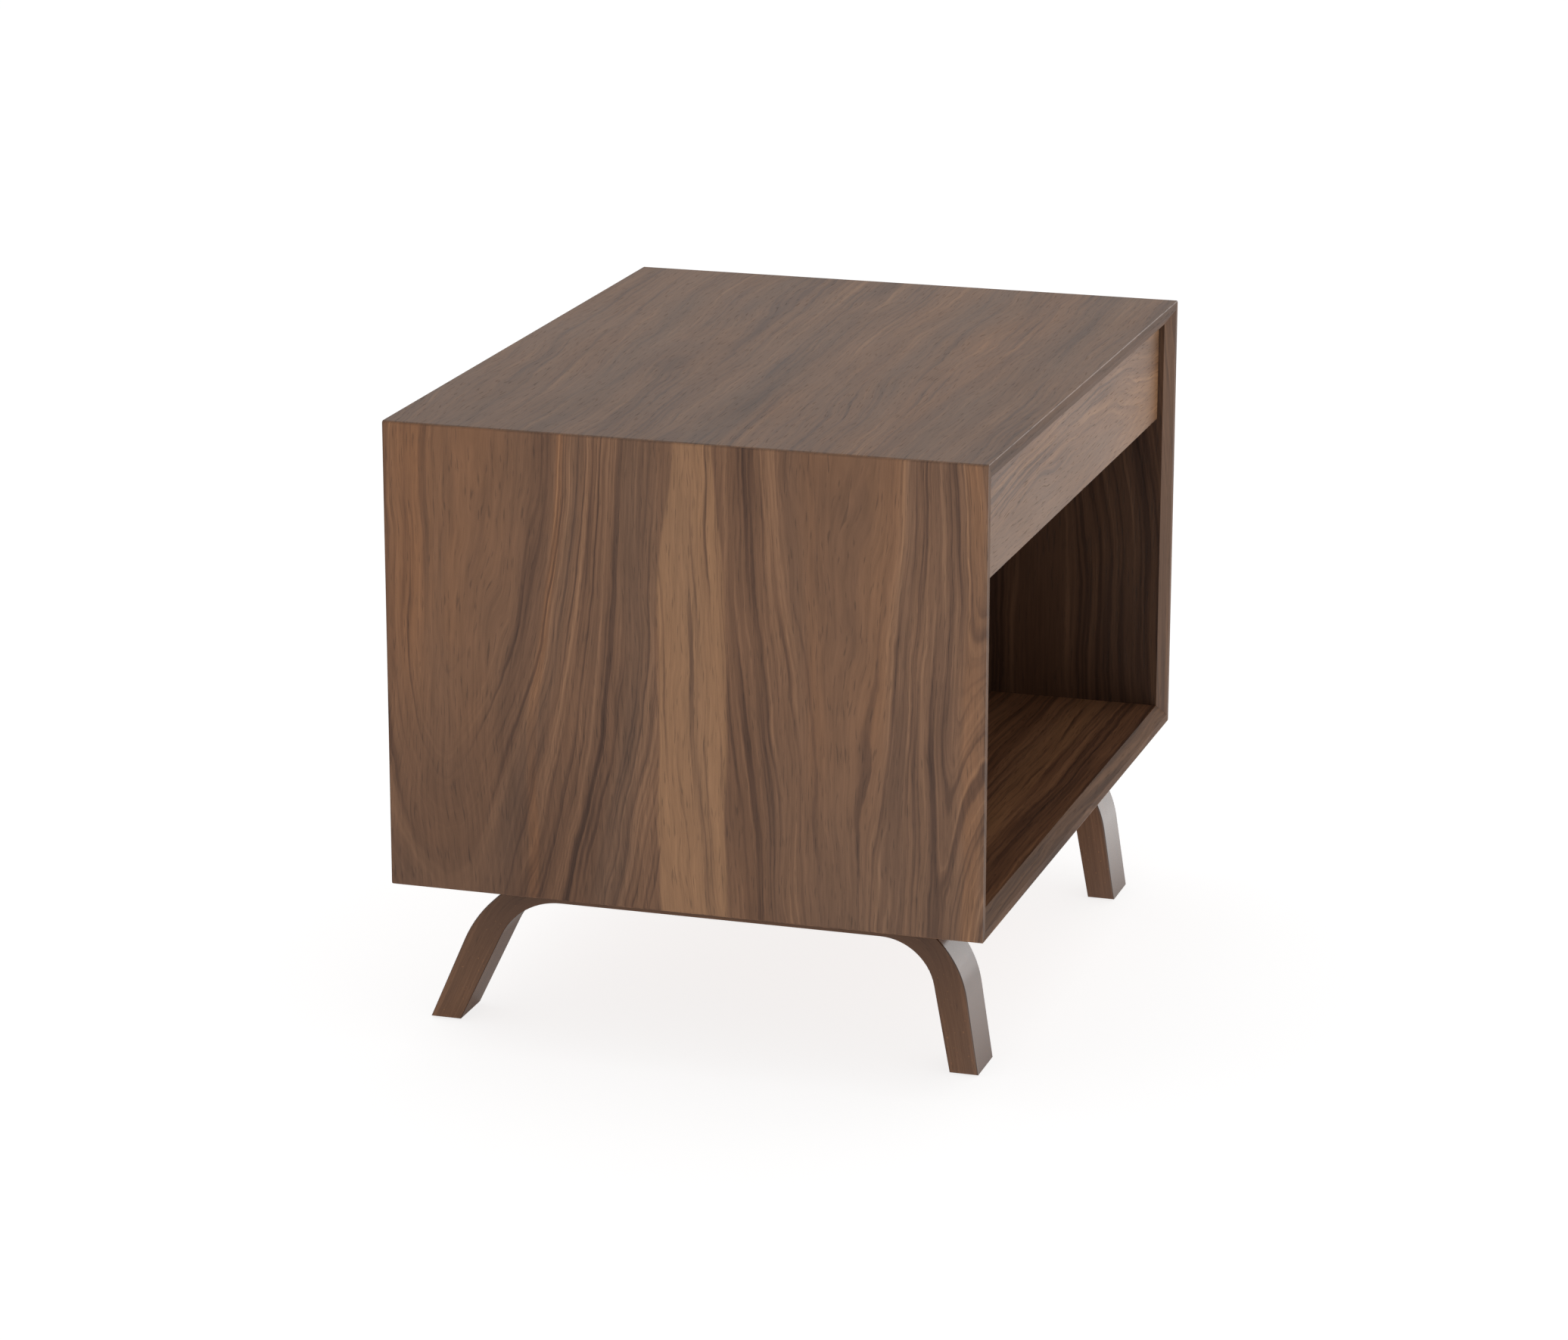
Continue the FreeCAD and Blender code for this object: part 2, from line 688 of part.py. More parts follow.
def dowel_set(body, spots, kind):
    for index, (side, spot) in enumerate(spots):
        turned(body, kind + "Cylinder", f"{body.Name}_dowel_{index}", spot, (-side, 0, 0),
               Radius="dowel_radius", Height="dowel_long")


def bottom_groove(body, plane, inner, outer, start, length):
    low = f"({DRAWER_LOW} + bottom_up)"
    groove = rectangle(inner, low, outer, f"{low} + bottom_thick")
    extrude(body, body.Name + "_groove", plane, [groove], start, length, cut=True)


def drawer_side(name, side):
    x = f"-{DRAWER_HALF}" if side < 0 else f"{DRAWER_HALF} - drawer_wall"
    body = board(name, (x, DRAWER_FRONT_BACK, DRAWER_LOW), "drawer_wall", "drawer_long", "drawer_tall")
    inner = f"{side} * ({DRAWER_HALF} - drawer_wall)"
    outer = f"{inner} + ({side}) * groove_deep"
    bottom_groove(body, "XZ_Plane", inner, outer, DRAWER_FRONT_BACK, "drawer_long")
    for number, y in enumerate(corner_planes()):
        spots = [spot for spot in dowel_spots(y) if spot[0] == side]
        for index, (_, spot) in enumerate(spots):
            turned(body, "SubtractiveCylinder", f"{name}_dowel_{number}_{index}", spot, (-side, 0, 0),
                   Radius="dowel_radius", Height="dowel_long")
    drawer_rail_screw_set(body, side, "Subtractive")
    return body


def drawer_end(name, y, groove_side):
    """The inner front or the back wall of the drawer, between its sides."""
    half = f"({DRAWER_HALF} - drawer_wall)"
    body = board(name, (f"-{half}", y, DRAWER_LOW), f"2 * {half}", "drawer_wall", "drawer_tall")
    inner = f"({y} + drawer_wall)" if groove_side > 0 else f"({y})"
    outer = f"{inner} - ({groove_side}) * groove_deep"
    bottom_groove(body, "YZ_Plane", inner, outer, f"-{half}", f"2 * {half}")
    dowel_set(body, dowel_spots(f"({y} + drawer_wall / 2)"), "Subtractive")
    return body


def drawer_bottom():
    half = f"({DRAWER_HALF} - drawer_wall + groove_deep)"
    y = f"({DRAWER_FRONT_BACK} + drawer_wall - groove_deep)"
    board("drawer_bottom", (f"-{half}", y, f"{DRAWER_LOW} + bottom_up"), f"2 * {half}",
          "drawer_long - 2 * drawer_wall + 2 * groove_deep", "bottom_thick")


def drawer_dowels():
    body = new_body("drawer_dowels")
    spots = [spot for y in corner_planes() for spot in dowel_spots(y)]
    dowel_set(body, spots, "Additive")


# ---------------------------------------------------------------- assembly and export

def build_box():
    spots = back_screw_spots()
    envelope = eased_envelope()
    for name, z_sign in (("top_panel", 1), ("bottom_panel", -1)):
        panel = flat_panel(name, z_sign)
        level_spots = [spot for spot in spots if "/ 6" in spot[0]]
        middle = value(LOW) + value("box_height") / 2
        back_screw_holes(panel, [spot for spot in level_spots if (value(spot[2]) > middle) == (z_sign > 0)])
        if z_sign < 0:
            insert_holes(panel)
        eased(panel, envelope)
    for name, side in SIDES.items():
        panel = side_panel(name + "_side_panel", side)
        upright = [spot for spot in spots if "/ 6" not in spot[0] and value(spot[0]) * side > 0]
        back_screw_holes(panel, upright)
        cabinet_screws(panel, side, "Subtractive")
        eased(panel, envelope)
    mitre_splines()
    divider_half = f"({INSIDE} + dado_deep)"
    board("divider_panel", (f"-{divider_half}", f"{FRONT} + divider_front", f"{LOW} + divider_under"),
          f"2 * {divider_half}", f"{BACK_FACE} - {FRONT} - divider_front", "divider_thick")
    back_half = f"({INSIDE} + rabbet_wide)"
    back = board("back_panel", (f"-{back_half}", BACK_FACE, f"{LOW} + board_thick - rabbet_wide"),
                 f"2 * {back_half}", "back_thick", "box_height - 2 * board_thick + 2 * rabbet_wide")
    back_screw_holes(back, spots)
    back_panel_screws(spots)


def build_legs():
    for name, side in SIDES.items():
        leg_frame(name + "_leg_frame", side)
    foot_glides()
    leg_frame_screws()
    threaded_inserts()


def build_slides():
    for name, side in SIDES.items():
        cabinet_rail(name + "_cabinet_rail", side)
        middle_rail(name + "_middle_rail", side)
        drawer_rail(name + "_drawer_rail", side)
        ball_cage(name + "_outer_ball_cage", side, "outer_cage_in", "outer_ball_in", "outer_ball_up")
        balls(name + "_outer_balls", side, "outer_ball_in", "outer_ball_up")
        ball_cage(name + "_inner_ball_cage", side, "inner_cage_in", "inner_ball_in", "inner_ball_up")
        balls(name + "_inner_balls", side, "inner_ball_in", "inner_ball_up")
    screw_group("cabinet_rail_screws", cabinet_screws)
    screw_group("drawer_rail_screws", drawer_rail_screw_set)
    slide_end_stops()


def build_drawer():
    drawer_front()
    inner_front = drawer_end("drawer_inner_front", DRAWER_FRONT_BACK, 1)
    front_screw_set(inner_front, "Subtractive")
    front_screw_set(new_body("drawer_front_screws"), "Additive")
    drawer_end("drawer_back", f"({DRAWER_FRONT_BACK} + drawer_long - drawer_wall)", -1)
    for name, side in SIDES.items():
        drawer_side(f"drawer_{name}_side", side)
    drawer_bottom()
    drawer_dowels()


def check_and_export():
    """Stop on any failed feature or bad shape, then write one STEP file for each sub-part."""
    doc.recompute()
    for thing in doc.Objects:
        if any(word in state for state in thing.State for word in ("Invalid", "Error")):
            raise RuntimeError(f"{thing.Name} failed: {thing.State}")
    for part in nodes:
        if part.Shape.isNull() or not part.Shape.isValid() or not part.Shape.Solids:
            raise RuntimeError(f"{part.Label} has no valid shape")
    if len(nodes) > NODE_LIMIT:
        raise RuntimeError("too many sub-parts")
    os.makedirs("parts", exist_ok=True)
    for part in nodes:
        part.Shape.exportStep(f"parts/{part.Label}.step")
        print(f"{part.Label}: {len(part.Shape.Solids)} solids, {part.Shape.Volume:.0f} mm3")


fill_sheet()
build_box()
build_legs()
build_slides()
build_drawer()
check_and_export()
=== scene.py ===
"""Looks of the bedside table: procedural woods and metals on the CAD frame, with studio light,
floor and camera."""
import json
import math

import bmesh
import bpy
from mathutils import Matrix, Vector


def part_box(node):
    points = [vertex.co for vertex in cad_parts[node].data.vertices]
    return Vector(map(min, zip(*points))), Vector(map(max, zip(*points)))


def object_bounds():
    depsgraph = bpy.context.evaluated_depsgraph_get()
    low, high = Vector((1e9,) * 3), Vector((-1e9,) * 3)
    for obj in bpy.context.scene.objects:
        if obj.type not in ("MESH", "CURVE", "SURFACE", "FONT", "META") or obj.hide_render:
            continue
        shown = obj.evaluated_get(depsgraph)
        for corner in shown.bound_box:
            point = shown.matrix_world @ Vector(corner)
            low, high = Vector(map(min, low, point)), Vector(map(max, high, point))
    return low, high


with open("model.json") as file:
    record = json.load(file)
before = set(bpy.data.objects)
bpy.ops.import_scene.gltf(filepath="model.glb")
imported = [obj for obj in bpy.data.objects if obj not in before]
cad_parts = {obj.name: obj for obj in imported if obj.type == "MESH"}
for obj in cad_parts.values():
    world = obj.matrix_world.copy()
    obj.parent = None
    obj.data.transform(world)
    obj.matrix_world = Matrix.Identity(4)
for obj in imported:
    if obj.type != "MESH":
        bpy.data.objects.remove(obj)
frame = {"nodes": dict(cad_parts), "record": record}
CAD_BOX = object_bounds()
NODES = frame["nodes"]
SLOTS = {part["node"]: part["material_slot"] for part in frame["record"]["subparts"]}

# Camera, at the photograph's viewing angle.
AZIMUTH = math.radians(-72.761)
ELEVATION = math.radians(16.046)
ROLL = math.radians(0.063)
DISTANCE = 3.8302
LENS = 114.5
SENSOR = 36.0
TARGET = Vector((0.1241, 0.0514, 0.1807))

# Light: an even studio, a wide softbox overhead and a low one at the right of the front.
SKY = 0.46
SOFTBOX_POWER = 12.0
SOFTBOX_SIDE = 3.0
SOFTBOX_PLACE = (0.3, 0.3, 3.2)
RIM_POWER = 11.0
RIM_SIZE = (2.8, 1.4)
RIM_PLACE = (3.0, -1.25, 0.75)
LIT_POINT = (0.0, 0.0, 0.28)

# Floors: the one that the camera sees glows evenly. The one that only reflections show, just over
# it, glows in a pattern of painted light and shadow: a painted shadow under and behind the table,
# painted light in front of it, brightest to its right.
FLOOR_COLOR = 0.44
FLOOR_GLOW = 0.80
FLOOR_MOTTLE = 0.01
FLOOR_RADIUS = 60.0
FLOOR_LIFT = 0.0004
MIRRORED_PAINTED_SHADOW = 0.05
MIRRORED_PAINTED_LIGHT = 0.50
MIRRORED_RIGHT_PAINTED_LIGHT = 0.36

# Walnut's colours, linear, from the darkest ring line to the palest streak.
WALNUT_LINE = (0.078, 0.036, 0.021)
WALNUT_DARK = (0.140, 0.066, 0.037)
WALNUT_MID = (0.228, 0.110, 0.057)
WALNUT_PALE = (0.335, 0.168, 0.086)
WALNUT_STREAK = (0.385, 0.196, 0.094)
WALNUT_GREY = (0.145, 0.088, 0.060)

# Tints of the broad bands across a leaf: mineral-dark, plain dark, warm pale and dusty wood.
DARK = (0.66, 0.66, 0.72)
UMBER = (0.74, 0.70, 0.68)
WARM = (1.30, 1.18, 0.97)
HAZE = (1.10, 1.14, 1.18)
# The banding on the front edges is greyer than the veneer.
EDGE_GREY = (0.150, 0.104, 0.078)

# Stained legs: darkest line, body and palest fibres.
LEG_LINE = (0.085, 0.040, 0.022)
LEG_DARK = (0.139, 0.068, 0.036)
LEG_MID = (0.208, 0.101, 0.052)
LEG_SPECK = (0.30, 0.130, 0.055)

# Other woods and metals.
BIRCH_DARK = (0.50, 0.345, 0.205)
BIRCH_LIGHT = (0.68, 0.51, 0.335)
BIRCH_END = (0.36, 0.225, 0.125)
PLY_THICK = 0.0024
CLOUD_TINT = (0.84, 0.87, 0.93)

AXIS = {"x": 0, "y": 1, "z": 2}

# How pointed a heart's arches are: 2 is round. The next leaf's rings start further out by LEAF_JUMP.
HEART_POINT = 1.45
LEAF_JUMP = 0.317

# A board, in metres: depth of its front bevel, the banding's depth under the outer face (from
# nothing to full), where its inner face starts, and how far its worn arrises reach.
BEVEL_DEEP = 0.0064
BEVEL_SOFT = 0.0004
BANDING_FROM = (0.0005, 0.0012)
INNER_FROM = (0.0140, 0.0150)
ARRIS_REACH = 0.0016


class Graph:
    """A material's nodes. Each method adds one node and gives back its output socket."""

    def __init__(self, name):
        self.material = bpy.data.materials.new(name)
        self.material.use_nodes = True
        self.tree = self.material.node_tree
        self.tree.nodes.clear()
        self.place = self.add("ShaderNodeTexCoord").outputs["Object"]
        self.axes = self.split(self.place)

    def add(self, kind, **settings):
        made = self.tree.nodes.new(kind)
        for key, setting in settings.items():
            setattr(made, key, setting)
        return made

    def feed(self, socket, source):
        if isinstance(source, bpy.types.NodeSocket):
            self.tree.links.new(source, socket)
        elif isinstance(source, tuple) and len(source) == 3 and socket.type == "RGBA":
            socket.default_value = (*source, 1.0)
        else:
            socket.default_value = source

    def split(self, vector):
        made = self.add("ShaderNodeSeparateXYZ")
        self.feed(made.inputs[0], vector)
        return list(made.outputs)

    def join(self, x, y, z):
        made = self.add("ShaderNodeCombineXYZ")
        for socket, source in zip(made.inputs, (x, y, z)):
            self.feed(socket, source)
        return made.outputs[0]

    def math(self, operation, *sources, clamp=False):
        made = self.add("ShaderNodeMath", operation=operation, use_clamp=clamp)
        for socket, source in zip(made.inputs, sources):
            self.feed(socket, source)
        return made.outputs[0]

    def plus(self, *sources):
        total = sources[0]
        for source in sources[1:]:
            total = self.math("ADD", total, source)
        return total

    def times(self, a, b):
        return self.math("MULTIPLY", a, b)

    def minus(self, a, b):
        return self.math("SUBTRACT", a, b)

    def scaled(self, source, factor, shift=0.0):
        return self.math("MULTIPLY_ADD", source, factor, shift)

    def swing(self, source, size):
        """A noise value, 0 to 1, as an offset of at most about size either way."""
        return self.math("MULTIPLY_ADD", source, 2.0 * size, -size)

    def noise(self, vector, detail=1.0, roughness=0.5):
        made = self.add("ShaderNodeTexNoise", noise_dimensions="3D", normalize=True)
        self.feed(made.inputs["Vector"], vector)
        made.inputs["Scale"].default_value = 1.0
        made.inputs["Detail"].default_value = detail
        made.inputs["Roughness"].default_value = roughness
        return made.outputs["Fac"]

    def step(self, source, low, high, to_low=0.0, to_high=1.0):
        """Smooth step from to_low at low to to_high at high."""
        made = self.add("ShaderNodeMapRange", interpolation_type="SMOOTHSTEP")
        for socket, given in zip(made.inputs, (source, low, high, to_low, to_high)):
            self.feed(socket, given)
        return made.outputs[0]

    def ramp(self, source, stops):
        made = self.add("ShaderNodeValToRGB")
        line = made.color_ramp
        line.interpolation = "EASE"
        while len(line.elements) < len(stops):
            line.elements.new(0.5)
        for element, (spot, color) in zip(line.elements, stops):
            element.position = spot
            element.color = (*color, 1.0)
        self.feed(made.inputs[0], source)
        return made.outputs["Color"]

    def mix(self, share, a, b, blend="MIX"):
        made = self.add("ShaderNodeMix", data_type="RGBA", blend_type=blend, clamp_factor=True)
        self.feed(made.inputs[0], share)
        self.feed(made.inputs[6], a)
        self.feed(made.inputs[7], b)
        return made.outputs[2]

    def shade(self, color, amount):
        """The colour times a grey amount."""
        made = self.add("ShaderNodeVectorMath", operation="SCALE")
        self.feed(made.inputs[0], color)
        self.feed(made.inputs["Scale"], amount)
        return made.outputs[0]

    def stretch(self, *pairs):
        """A noise's place: three sources, each times its own scale."""
        return self.join(*[self.scaled(source, scale) for source, scale in pairs])

    def spread(self, scale):
        """A noise's place: the object's axes, all times one scale."""
        return self.stretch(*[(axis, scale) for axis in self.axes])

    def drawn_out(self, along, slow, fast):
        """The object's axes for a noise: slow along one of them, fast along the other two."""
        return [self.scaled(axis, slow if key == along else fast) for key, axis in zip("xyz", self.axes)]

    def bump(self, height, depth, strength=1.0, under=None):
        made = self.add("ShaderNodeBump")
        made.inputs["Strength"].default_value = strength
        made.inputs["Distance"].default_value = depth
        self.feed(made.inputs["Height"], height)
        if under is not None:
            self.feed(made.inputs["Normal"], under)
        return made.outputs[0]

    def finish(self, color, roughness, normal=None, **constants):
        made = self.add("ShaderNodeBsdfPrincipled")
        self.feed(made.inputs["Base Color"], color)
        self.feed(made.inputs["Roughness"], roughness)
        if normal is not None:
            self.feed(made.inputs["Normal"], normal)
        for key, constant in constants.items():
            made.inputs[key.replace("_", " ")].default_value = constant
        output = self.add("ShaderNodeOutputMaterial")
        self.tree.links.new(made.outputs[0], output.inputs["Surface"])
        return self.material


def arris(graph, node, reach):
    """1 along the straight arrises of a box-shaped node, 0 further than reach from them."""
    low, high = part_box(node)
    gaps = []
    for axis, spot in enumerate(graph.axes):
        near = graph.math("ABSOLUTE", graph.minus(spot, low[axis]))
        far = graph.math("ABSOLUTE", graph.minus(spot, high[axis]))
        gaps.append(graph.math("MINIMUM", near, far))
    first = graph.math("MINIMUM", gaps[0], gaps[1])
    second = graph.math("MAXIMUM", gaps[0], gaps[1])
    middle = graph.math("MAXIMUM", first, graph.math("MINIMUM", second, gaps[2]))
    return graph.step(middle, 0.0, reach, 1.0, 0.0)


def sway(graph, a, c, sways, waves, seed):
    """The place across the leaf, bent sideways as the grain wanders.

    A sway is (place across, half width, shift, low, high): the grain there steps sideways by
    shift between two places along the leaf.
    """
    slow = graph.noise(graph.join(graph.scaled(a, 2.8), graph.scaled(c, 8.0), seed))
    brisk = graph.noise(graph.join(graph.scaled(a, 8.0), graph.scaled(c, 26.0), seed + 7.3))
    quick = graph.noise(graph.join(graph.scaled(a, 24.0), graph.scaled(c, 60.0), seed + 8.1))
    bent = graph.plus(c, graph.swing(slow, 0.018 * waves), graph.swing(brisk, 0.006 * waves))
    bent = graph.plus(bent, graph.swing(quick, 0.0016 * waves))
    for place, half, shift, low, high in sways:
        away = graph.math("ABSOLUTE", graph.plus(c, -place))
        near = graph.step(away, 0.0, half, shift, 0.0)
        bent = graph.plus(bent, graph.times(near, graph.step(a, low, high)))
    return bent


def ring_field(graph, a, c, bent, leaves, seed):
    """Ring radius at a point of the veneer, and how steeply the rings are cut there, from 0 to 1.

    A leaf is (place of its lower seam, half width of its quiet middle, its hearts). A heart is
    (place across, lean, height over the pith, rise of that height along the grain, where along
    the grain the rise starts).
    """
    place = graph.join(graph.scaled(a, 42.0), graph.scaled(c, 150.0), seed + 3.1)
    fine = graph.noise(place, detail=2.0)
    ragged = graph.noise(graph.join(graph.scaled(a, 6.0), graph.scaled(c, 5.0), seed + 5.7))
    lumps = graph.noise(graph.join(graph.scaled(a, 7.0), graph.scaled(c, 16.0), seed + 17.0), detail=1.5)
    field = None
    steep = None
    for order, (seam, quiet, hearts) in enumerate(leaves):
        radius = None
        for across, lean, height, rise, start in hearts:
            side = graph.plus(bent, graph.scaled(a, -lean, -across))
            risen = graph.math("SMOOTH_MAX", graph.scaled(a, rise, -rise * start), 0.0, 0.008)
            deep = graph.plus(risen, graph.swing(lumps, 0.010), height)
            flank = graph.math("POWER", graph.math("ABSOLUTE", side), HEART_POINT)
            crest = graph.math("POWER", graph.math("MAXIMUM", deep, 0.001), HEART_POINT)
            round_here = graph.math("POWER", graph.plus(flank, crest), 1.0 / HEART_POINT)
            radius = round_here if radius is None else graph.math("SMOOTH_MIN", radius, round_here, 0.02)
        away = graph.math("ABSOLUTE", graph.plus(bent, -hearts[0][0]))
        cut = graph.step(away, 0.1 * quiet, quiet, 0.30, 1.0)
        radius = graph.plus(radius, LEAF_JUMP * order)
        if field is None:
            field, steep = radius, cut
        else:
            beyond = graph.step(graph.plus(c, graph.swing(ragged, 0.008)), seam - 0.0003, seam + 0.0003)
            field = graph.plus(graph.times(field, beyond), graph.times(radius, graph.minus(1.0, beyond)))
            steep = graph.plus(graph.times(steep, beyond), graph.times(cut, graph.minus(1.0, beyond)))
    return graph.plus(field, graph.swing(fine, 0.0011)), steep


def ring_lines(graph, field, a, spacing, seed):
    """Thin latewood lines at uneven distances: a slow rise in each ring, then a sharp drop."""
    drift = graph.noise(graph.join(graph.scaled(field, 38.0), graph.scaled(a, 0.8), seed + 11.0))
    phase = graph.plus(graph.scaled(field, 1.0 / spacing), graph.scaled(drift, 3.0))
    share = graph.math("FRACT", phase)
    rise = graph.step(share, 0.35, 0.93)
    drop = graph.step(share, 0.95, 1.0, 1.0, 0.0)
    return graph.times(graph.times(rise, rise), drop)


def lay_bands(graph, color, a, c, bands, seed):
    """Broad bands of other wood along the leaf. A band is (place, lean, half width, softness, tint,
    strength, how broken it is along the grain, and where along the grain it fades in and out)."""
    gaps = graph.noise(graph.join(graph.scaled(a, 8.0), graph.scaled(c, 26.0), seed + 51.0), 3.0)
    for place, lean, half, soft, tint, strength, broken, *span in bands:
        distance = graph.math("ABSOLUTE", graph.plus(c, graph.scaled(a, -lean, -place)))
        inside = graph.step(distance, half, half + soft, strength, 0.0)
        if broken:
            inside = graph.times(inside, graph.step(gaps, 0.38, 0.62, 1.0 - broken, 1.0))
        if span:
            inside = graph.times(inside, graph.step(a, *span))
        tinted = graph.mix(1.0, color, tint, "MULTIPLY")
        color = graph.mix(inside, color, tinted)
    return color


def walnut(name, node, along, across, leaves, seed, streaks=(), bands=(), sways=(), waves=1.0,
           spacing=0.008, contrast=1.0, tone=1.0, tint=(1.0, 1.0, 1.0), painted_shade_near_end=0.0, gloss=0.36,
           level=0.5, edge_tone=1.0, inner_painted_shade=1.0):
    """Satin walnut veneer: grain runs along one axis, the leaf's figure spreads across another.

    Places are measured from the node's middle. A streak is (place, lean, half width, strength,
    share of its width lost at the far end) of pale wood. Tones scale the colour: of all of it,
    of the front edge, and of the inner face, whose tone is painted shade that darkens the box's
    inside. Fade is how much darker the leaf's near end is, a painted shade.
    """
    graph = Graph(name)
    low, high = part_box(node)
    middle = (low + high) / 2
    rest = ({"x", "y", "z"} - {along, across}).pop()
    a = graph.scaled(graph.axes[AXIS[along]], 1.0, -middle[AXIS[along]])
    flat = graph.scaled(graph.axes[AXIS[across]], 1.0, -middle[AXIS[across]])
    centre = (CAD_BOX[0] + CAD_BOX[1]) / 2
    outer, inward = (high, -1.0) if middle[AXIS[rest]] > centre[AXIS[rest]] else (low, 1.0)
    deep = graph.scaled(graph.axes[AXIS[rest]], inward, -inward * outer[AXIS[rest]])
    c = graph.plus(flat, graph.scaled(deep, 0.6))
    bent = sway(graph, a, c, sways, waves, seed)
    field, steep = ring_field(graph, a, c, bent, leaves, seed)

    broad = graph.noise(graph.join(graph.scaled(field, 42.0), graph.scaled(a, 1.6), seed + 1.0))
    middling = graph.noise(graph.join(graph.scaled(field, 130.0), graph.scaled(a, 3.0), seed + 2.0))
    narrow = graph.noise(graph.join(graph.scaled(field, 430.0), graph.scaled(a, 6.0), seed + 4.0))
    lines = ring_lines(graph, field, a, spacing, seed)
    line_weight = graph.noise(graph.join(graph.scaled(field, 60.0), graph.scaled(a, 4.0), seed + 5.0))
    lines = graph.times(lines, steep)
    figure = graph.plus(
        0.56 + 0.02 * contrast,
        graph.swing(broad, 0.42 * contrast),
        graph.times(graph.swing(middling, 0.44 * contrast), steep),
        graph.times(graph.swing(narrow, 0.50 * contrast), steep),
        graph.times(lines, graph.step(line_weight, 0.35, 0.7, -0.06 * contrast, -0.34 * contrast)),
    )
    color = graph.ramp(
        figure,
        [(0.0, WALNUT_LINE), (0.3, WALNUT_DARK), (0.56, WALNUT_MID), (0.9, WALNUT_PALE)],
    )
    for place, lean, half, strength, taper in streaks:
        wander = graph.noise(graph.join(graph.scaled(a, 6.0), seed, 0.0), detail=2.0)
        centred = graph.plus(c, graph.scaled(a, -lean, -place), graph.swing(wander, 0.008))
        narrowing = graph.step(a, 0.06, 0.17, 0.0, taper * half)
        distance = graph.plus(graph.math("ABSOLUTE", centred), narrowing)
        inside = graph.step(distance, half - 0.002, half + 0.0005, strength, 0.0)
        inside = graph.times(inside, graph.step(figure, 0.2, 0.55, 0.25, 1.0))
        color = graph.mix(inside, color, WALNUT_STREAK)
    if bands:
        color = lay_bands(graph, color, a, bent, bands, seed)

    patch = graph.noise(graph.join(graph.scaled(a, 2.3), graph.scaled(c, 9.0), seed + 21.0), detail=2.0)
    color = graph.mix(graph.step(patch, 0.38, 0.68, 0.0, 0.4), color, graph.shade(color, 0.84))
    grey = graph.noise(graph.join(graph.scaled(a, 1.7), graph.scaled(field, 24.0), seed + 31.0))
    color = graph.mix(graph.step(grey, 0.45, 0.75, 0.0, 0.3), color, WALNUT_GREY)

    spots = [graph.scaled(bent, 430.0), graph.scaled(deep, 430.0)]
    fibre = graph.noise(graph.join(graph.scaled(a, 18.0), *spots), 3.0, 0.7)
    spots = [graph.scaled(bent, 900.0), graph.scaled(deep, 900.0)]
    pore = graph.noise(graph.join(graph.scaled(a, 60.0), *spots))
    pores = graph.step(pore, 0.60, 0.72)
    bevelled = low.y + BEVEL_DEEP
    front = graph.step(graph.axes[1], bevelled, bevelled + BEVEL_SOFT, 1.0, 0.0)
    banding = graph.times(front, graph.step(deep, *BANDING_FROM))
    unbanded = graph.scaled(banding, -1.0, 1.0)
    color = graph.mix(unbanded, color, graph.mix(1.0, color, tint, "MULTIPLY"))
    color = graph.shade(color, graph.scaled(fibre, 0.80 * tone, 0.60 * tone))
    color = graph.mix(graph.scaled(pores, 0.6), color, graph.shade(color, 0.5))
    # Painted shade: the leaf is drawn darker towards its near end.
    if painted_shade_near_end:
        color = graph.shade(color, graph.step(a, -0.17, 0.03, 1.0 - painted_shade_near_end, 1.0))
    if edge_tone != 1.0:
        color = graph.mix(graph.scaled(banding, 0.45), color, EDGE_GREY)
        color = graph.shade(color, graph.scaled(banding, edge_tone - 1.0, 1.0))
        # Painted shade: the board's inner face, inside the box, is drawn darker by its tone.
        inside = graph.times(graph.step(deep, *INNER_FROM), graph.minus(1.0, banding))
        color = graph.shade(color, graph.scaled(inside, inner_painted_shade - 1.0, 1.0))
    # A darker line, in patches, along the board's straight arrises.
    dark_arris_line = arris(graph, node, ARRIS_REACH)
    patchy = graph.noise(graph.join(graph.scaled(a, 18.0), graph.scaled(c, 30.0), seed + 9.0), 2.0)
    dark_arris_line = graph.times(dark_arris_line, graph.step(patchy, 0.35, 0.65, 0.2, 0.6))
    color = graph.mix(dark_arris_line, color, graph.shade(color, 0.55))

    sheen = graph.noise(graph.join(graph.scaled(a, 9.0), graph.scaled(c, 22.0), seed + 13.0), 2.0)
    roughness = graph.plus(gloss - 0.05, graph.scaled(sheen, 0.1), graph.scaled(pores, 0.12))
    if edge_tone != 1.0:
        roughness = graph.plus(roughness, graph.scaled(banding, 0.4))
    height = graph.plus(graph.scaled(fibre, 0.4), graph.scaled(pores, -0.6), graph.scaled(lines, -0.15))
    normal = graph.bump(height, 0.00008, 0.6)
    return graph.finish(color, roughness, normal, IOR=1.5, Specular_IOR_Level=level)


